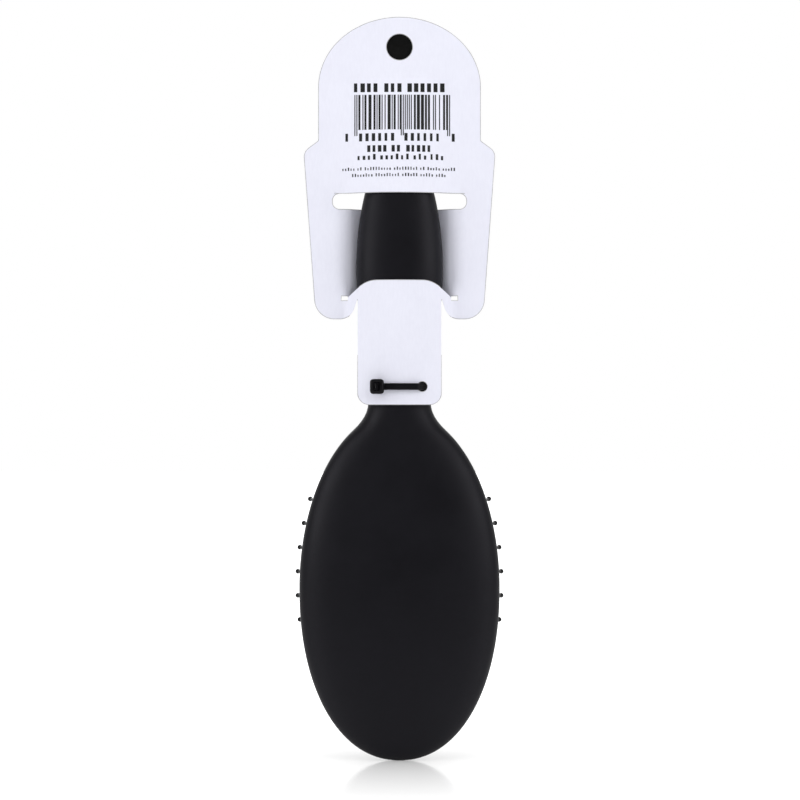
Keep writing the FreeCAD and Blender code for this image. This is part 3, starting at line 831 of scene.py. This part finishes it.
# rows of plain blocks and a block of made-up bars; millimetres from the hang hole
printForm = {
    "film": 0.03, "sliver": 1.2, "castFrom": -100.0,
    "barsLeft": -14.85, "barsTop": -15.8, "barsFoot": -27.4, "guardFoot": -29.4,
    "module": 0.3316, "modules": 95, "guards": (0, 2, 46, 48, 92, 94),
    "barWidths": (1, 1, 2, 2, 3), "barGaps": (1, 1, 2, 3), "blockWidths": (0.8, 1.15),
    "rows": [  # top, height, groups as (start, blocks), pitch, inked share of the pitch, least height share
        (-12.0, 2.9, ((-15.0, 4), (-5.0, 3), (2.6, 6)), 2.15, 0.6, 1.0),
        (-28.6, 2.6, ((-17.8, 1), (-13.3, 6), (1.6, 6), (17.2, 1)), 2.1, 0.46, 1.0),
        (-32.6, 2.2, ((-10.6, 4), (-2.6, 2), (2.2, 5)), 1.75, 0.6, 1.0),
        (-35.5, 1.9, ((-13.8, 4), (-6.3, 6), (4.6, 3), (10.2, 3)), 1.7, 0.46, 0.72),
        (-39.8, 1.05, ((-18.8, 5), (-13.8, 2), (-11.4, 10), (-1.8, 9), (6.8, 2), (9.2, 5), (14.2, 5)),
         0.9, 0.44, 0.7),
        (-41.9, 1.05, ((-15.6, 8), (-7.8, 9), (0.9, 6), (6.9, 5), (12.0, 4)), 0.9, 0.44, 0.7),
    ],
    "seed": 41,
}


def addInkBlock(shape, card, left, right, top, foot):
    # a patch of ink laid on the card's front, in slivers that follow its bow
    steps = max(1, math.ceil((right - left) / printForm["sliver"]))
    rises = max(1, math.ceil((top - foot) / (2 * printForm["sliver"])))
    grid = []
    for r in range(rises + 1):
        row = []
        for k in range(steps + 1):
            x, z = mix(left, right, k / steps) * mm, mix(foot, top, r / rises) * mm
            hit = card.ray_cast(Vector((x, printForm["castFrom"] * mm, z)), Vector((0, 1, 0)))
            row.append(shape.verts.new((x, hit[0].y - printForm["film"] * mm, z)))
        grid.append(row)
    for first, second in zip(grid, grid[1:]):
        addStrip(shape, first, second)


def addBars(shape, card, dice):
    f = printForm
    at = 0
    while at < f["modules"]:
        guard = at in f["guards"]
        room = min([g - at - 1 for g in f["guards"] if g > at] or [1])
        width = 1 if guard else max(1, min(dice.choice(f["barWidths"]), room))
        left = f["barsLeft"] + at * f["module"]
        addInkBlock(shape, card, left, left + width * f["module"], f["barsTop"],
                    f["guardFoot"] if guard else f["barsFoot"])
        step = width + (1 if guard else dice.choice(f["barGaps"]))
        ahead = [g for g in f["guards"] if g > at]
        at = min(at + step, ahead[0]) if ahead else f["modules"]


def addMarkRow(shape, card, dice, row):
    # plain upright blocks in short groups
    top, height, clusters, pitch, inked, least = row
    for start, count in clusters:
        for k in range(count):
            x = start + k * pitch
            wide = pitch * inked * dice.uniform(*printForm["blockWidths"])
            rise = height * dice.choice((1.0, least))
            addInkBlock(shape, card, x, x + wide, top - height + rise, top - height)


def buildPrint(card, material):
    dice = random.Random(printForm["seed"])
    shape = bmesh.new()
    addBars(shape, card, dice)
    for row in printForm["rows"]:
        addMarkRow(shape, card, dice, row)
    mesh = bpy.data.meshes.new("card_print")
    bmesh.ops.recalc_face_normals(shape, faces=shape.faces)
    shape.to_mesh(mesh)
    shape.free()
    mesh.materials.append(material)
    ink = bpy.data.objects.new("card_print", mesh)
    bpy.context.scene.collection.objects.link(ink)
    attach(ink, "brush_body")


cardFace = lookMaterial("Card face", cardLook["face"])
cardTree = buildCard(cardFace, lookMaterial("Card core", cardLook["coreAndEdgeShade"]))
buildPrint(cardTree, lookMaterial("Print ink", inkLook))
print("card and print built")


# cable tie

tieForm = {
    # corners of the strap's run round the neck: across, depth, bend radius
    "corners": [(-6.2, -8.915, 0.0), (6.119, -8.915, 1.3), (13.14, 0.73, 5.661), (0.0, 12.932, 13.9),
                (-13.14, 0.73, 5.661), (-7.35, -7.223, 2.0), (-7.35, -13.115, 0.0)],
    "height": 66.3, "halfWidth": 1.1, "halfThick": 0.5, "edge": 0.2, "step": 0.13, "leastSteps": 6,
    "toothPitch": 0.78, "toothDepth": 0.24, "toothHalf": 0.62, "toothSlope": 0.06,
    "toothedShares": (0.06, 0.985), "edgeShare": 0.3,
    "headAcross": 4.6, "headHeight": 4.9, "headDepth": 3.5, "headMiddle": -7.35, "headBack": -8.415,
    "windowAcross": 1.4, "windowHeight": 2.6, "headRound": 1.05, "windowRound": 0.22,
    "headSegments": 4, "windowSegments": 2, "sharpAngle": 35,
    "channelHalf": 0.45, "channelDepth": 0.12, "channelSlope": 0.1,
}

tieLook = {
    "grain": {"Dark": (0.003, 0.003, 0.004, 1), "Light": (0.0055, 0.0055, 0.007, 1), "Grain scale": 3200.0,
              "Drift scale": 200.0, "Rough low": 0.3, "Rough high": 0.42},
    "bumpDepth": 0.012, "bumpStrength": 0.35,
    "shader": {"Specular IOR Level": 0.15},
}


def tieRoute():
    # even steps along the strap's middle line, with its bends rounded
    corners = [(Vector((x, y)), radius) for x, y, radius in tieForm["corners"]]
    line = []
    for i, (corner, radius) in enumerate(corners):
        if radius == 0:
            line.append(corner)
            continue
        before = (corners[i - 1][0] - corner).normalized()
        after = (corners[i + 1][0] - corner).normalized()
        half = before.angle(after) / 2
        centre = corner + (before + after).normalized() * (radius / math.sin(half))
        start = corner + before * (radius / math.tan(half)) - centre
        sweep = start.angle_signed(corner + after * (radius / math.tan(half)) - centre)
        pieces = max(tieForm["leastSteps"], int(abs(sweep) * radius / tieForm["step"]))
        for k in range(pieces + 1):
            a = -sweep * k / pieces
            line.append(centre + Vector((start.x * math.cos(a) - start.y * math.sin(a),
                                         start.x * math.sin(a) + start.y * math.cos(a))))
    even, walked, due = [line[0]], 0.0, tieForm["step"]
    for first, second in zip(line, line[1:]):
        length = (second - first).length
        while length > 0 and due <= walked + length:
            even.append(first.lerp(second, (due - walked) / length))
            due += tieForm["step"]
        walked += length
    return even + [line[-1]]


def addStrap(shape):
    f = tieForm
    w, t, e, cut = f["halfWidth"], f["halfThick"], f["edge"], f["edgeShare"] * f["edge"]
    tooth, toothFoot = f["toothHalf"], f["toothHalf"] + f["toothSlope"]
    channel, channelTop = f["channelHalf"], f["channelHalf"] + f["channelSlope"]
    sunk = t - f["channelDepth"]
    firstTooth, lastTooth = f["toothedShares"]
    route = tieRoute()
    rings = []
    for i, point in enumerate(route):
        ahead = (route[min(i + 1, len(route) - 1)] - route[max(i - 1, 0)]).normalized()
        out = Vector((ahead.y, -ahead.x))
        phase = (i * f["step"] / f["toothPitch"]) % 1.0
        toothed = firstTooth < i / len(route) < lastTooth
        bite = f["toothDepth"] * (1 - abs(2 * phase - 1)) if toothed else 0.0
        section = [(t, -w + e), (t, -channelTop), (sunk, -channel), (sunk, channel), (t, channelTop),
                   (t, w - e), (t - cut, w - cut), (t - e, w), (e - t, w),
                   (cut - t, w - cut), (-t, w - e), (-t, toothFoot), (bite - t, tooth),
                   (bite - t, -tooth), (-t, -toothFoot), (-t, e - w), (cut - t, cut - w),
                   (e - t, -w), (t - e, -w), (t - cut, cut - w)]
        rings.append([shape.verts.new(toFrame(point.x + out.x * n, point.y + out.y * n, f["height"] + z))
                      for n, z in section])
    for first, second in zip(rings, rings[1:]):
        addStrip(shape, first, second, True)
    shape.faces.new(rings[0])
    shape.faces.new(rings[-1])


def addTieHead(shape):
    f = tieForm
    front = f["headBack"] - f["headDepth"]
    loops = []
    around = ((1, 1), (-1, 1), (-1, -1), (1, -1))
    for across, tall in ((f["headAcross"], f["headHeight"]), (f["windowAcross"], f["windowHeight"])):
        plan = [(f["headMiddle"] + sx * across / 2, f["height"] + sz * tall / 2) for sx, sz in around]
        for y in (f["headBack"], front):
            loops.append([shape.verts.new(toFrame(x, y, z)) for x, z in plan])
    outerBack, outerFront, innerBack, innerFront = loops
    faces = len(shape.faces)
    for first, second in ((outerBack, outerFront), (outerFront, innerFront), (innerFront, innerBack),
                          (innerBack, outerBack)):
        addStrip(shape, first, second, True)
    shape.faces.ensure_lookup_table()
    made = shape.faces[faces:]
    bmesh.ops.recalc_face_normals(shape, faces=made)
    outer = set(outerBack + outerFront)
    edges = list(dict.fromkeys(edge for face in made for edge in face.edges))
    hull = [edge for edge in edges if set(edge.verts) <= outer]
    mouth = [edge for edge in edges if not set(edge.verts) & outer]
    for rounded, radius, segments in ((hull, f["headRound"], f["headSegments"]),
                                      (mouth, f["windowRound"], f["windowSegments"])):
        bmesh.ops.bevel(shape, geom=rounded, offset=radius * mm, segments=segments, profile=0.5,
                        affect="EDGES")


def buildTie(material):
    shape = bmesh.new()
    addTieHead(shape)
    addStrap(shape)
    finishPiece("tie_strap", shape, [material], "brush_body", ["cable_tie"],
                tieForm["sharpAngle"])


buildTie(lookMaterial("Tie nylon", tieLook))
print("cable tie built")


# studio

studio = {
    "floorHeight": -0.2348, "floorHalf": 4.0,
    "camera": (0.00016, -1.0, -0.1162), "imageSpan": 0.2634, "sensor": 36.0, "clip": (0.05, 20),
    "backdropRadius": 4.3, "backdropDepth": 0.1, "backdropSteps": 64,
    "glowReach": 0.24, "glowNear": 0.2,
    "floorColour": (0.9, 0.9, 0.9, 1), "floorRoughness": 0.12, "floorSpecular": 0.25,
    "worldSides": (-0.1, 0.7), "worldGloss": (0.05, 0.8), "worldSoft": 0.58,
    "softboxes": [  # name, place, aim, width, height, watts
        ("left_softbox", (-0.85, -0.46, 0.2), (0, 0, -0.1), 0.5, 0.6, 2.95),
        ("right_softbox", (0.85, -0.46, 0.2), (0, 0, -0.1), 0.5, 0.6, 2.95),
        ("front_softbox", (0, -0.9, 0.6), (0, 0, -0.1), 0.9, 0.4, 1.7),
        ("top_softbox", (0, 0.1, 0.85), (0, 0, -0.15), 0.8, 0.6, 1.4),
        ("rear_softbox", (0, 0.9, 0.45), (0, 0, -0.15), 0.9, 0.7, 2.4),
    ],
}

backdropLook = {
    "grain": {"Dark": (0.003, 0.003, 0.003, 1), "Light": (0.006, 0.006, 0.006, 1), "Grain scale": 900.0,
              "Drift scale": 200.0, "Rough low": 0.6, "Rough high": 0.7},
    "bumpDepth": 0.01, "bumpStrength": 0.2,
    "shader": {"Specular IOR Level": 0.08},
}


def buildFloor():
    mesh = bpy.data.meshes.new("studio_floor")
    h, z = studio["floorHalf"], studio["floorHeight"]
    mesh.from_pydata([(-h, -h, z), (h, -h, z), (h, h, z), (-h, h, z)], [], [(0, 1, 2, 3)])
    floor = bpy.data.objects.new("studio_floor", mesh)
    bpy.context.scene.collection.objects.link(floor)
    material, tree, shader = startMaterial("Studio floor")
    shader.inputs["Base Color"].default_value = studio["floorColour"]
    shader.inputs["Roughness"].default_value = studio["floorRoughness"]
    shader.inputs["Specular IOR Level"].default_value = studio["floorSpecular"]
    path = addNode(tree, "ShaderNodeLightPath")
    glow = addNode(tree, "ShaderNodeEmission")
    where = addNode(tree, "ShaderNodeTexCoord")
    flat = addNode(tree, "ShaderNodeVectorMath", operation="MULTIPLY")
    flat.inputs[1].default_value = (1, 1, 0)  # distance from the tip along the floor
    reach = addNode(tree, "ShaderNodeVectorMath", operation="LENGTH")
    tree.links.new(where.outputs["Object"], flat.inputs[0])
    tree.links.new(flat.outputs[0], reach.inputs[0])
    # the floor glows for the camera, weakest at the tip and full at glowReach: painted shade that darkens the
    # floor round the brush's foot, over its real shadow
    away = addRange(tree, reach.outputs["Value"], 0.0, studio["glowReach"], studio["glowNear"], 1.0)
    tree.links.new(addMath(tree, "MULTIPLY", away, path.outputs["Is Camera Ray"]), glow.inputs["Strength"])
    both = addNode(tree, "ShaderNodeAddShader")
    tree.links.new(shader.outputs[0], both.inputs[0])
    tree.links.new(glow.outputs[0], both.inputs[1])
    tree.links.new(both.outputs[0], tree.nodes["Material Output"].inputs["Surface"])
    floor.data.materials.append(material)


def buildHoleBackdrop():
    # the dark spot that shows through the hang hole; the hole itself stays open
    mesh = bpy.data.meshes.new("hole_backdrop")
    steps = studio["backdropSteps"]
    ring = [2 * math.pi * k / steps for k in range(steps)]
    r, y = studio["backdropRadius"] * mm, studio["backdropDepth"] * mm
    mesh.from_pydata([(r * math.cos(a), y, r * math.sin(a)) for a in ring], [], [tuple(range(steps))])
    disc = bpy.data.objects.new("hole_backdrop", mesh)
    bpy.context.scene.collection.objects.link(disc)
    mesh.materials.append(lookMaterial("Dark backdrop", backdropLook))


def addSoftbox(name, place, aim, width, height, power):
    light = bpy.data.lights.new(name, "AREA")
    light.shape = "RECTANGLE"
    light.size, light.size_y = width, height
    light.energy = power
    lamp = bpy.data.objects.new(name, light)
    lamp.location = place
    lamp.rotation_mode = "QUATERNION"
    lamp.rotation_quaternion = (Vector(aim) - Vector(place)).to_track_quat("-Z", "Y")
    bpy.context.scene.collection.objects.link(lamp)


def buildWorld():
    world = bpy.data.worlds.new("Studio")
    world.use_nodes = True
    bpy.context.scene.world = world
    tree = world.node_tree
    back = tree.nodes["Background"]
    path = addNode(tree, "ShaderNodeLightPath")
    seen = addMath(tree, "MAXIMUM", path.outputs["Is Camera Ray"], path.outputs["Is Transmission Ray"])
    way = addNode(tree, "ShaderNodeTexCoord")
    split = addNode(tree, "ShaderNodeSeparateXYZ")
    tree.links.new(way.outputs["Generated"], split.inputs[0])
    behind = addRange(tree, split.outputs["Y"], *studio["worldSides"], *studio["worldGloss"])
    seen = addMath(tree, "MAXIMUM", seen, addMath(tree, "MULTIPLY", path.outputs["Is Glossy Ray"], behind))
    soft = addMath(tree, "MULTIPLY", path.outputs["Is Diffuse Ray"], studio["worldSoft"])
    tree.links.new(addMath(tree, "MAXIMUM", seen, soft), back.inputs["Strength"])
    back.inputs["Color"].default_value = (1, 1, 1, 1)


def buildCamera():
    lens = bpy.data.cameras.new("photo_camera")
    lens.sensor_width = studio["sensor"]
    lens.lens = studio["sensor"] * -studio["camera"][1] / studio["imageSpan"]
    lens.clip_start, lens.clip_end = studio["clip"]
    camera = bpy.data.objects.new("photo_camera", lens)
    camera.location = studio["camera"]
    camera.rotation_euler = (math.radians(90), 0, 0)
    bpy.context.scene.collection.objects.link(camera)
    bpy.context.scene.camera = camera


buildFloor()
buildHoleBackdrop()
buildWorld()
for softbox in studio["softboxes"]:
    addSoftbox(*softbox)
buildCamera()
bpy.context.scene.view_settings.view_transform = "Standard"
print("studio built")
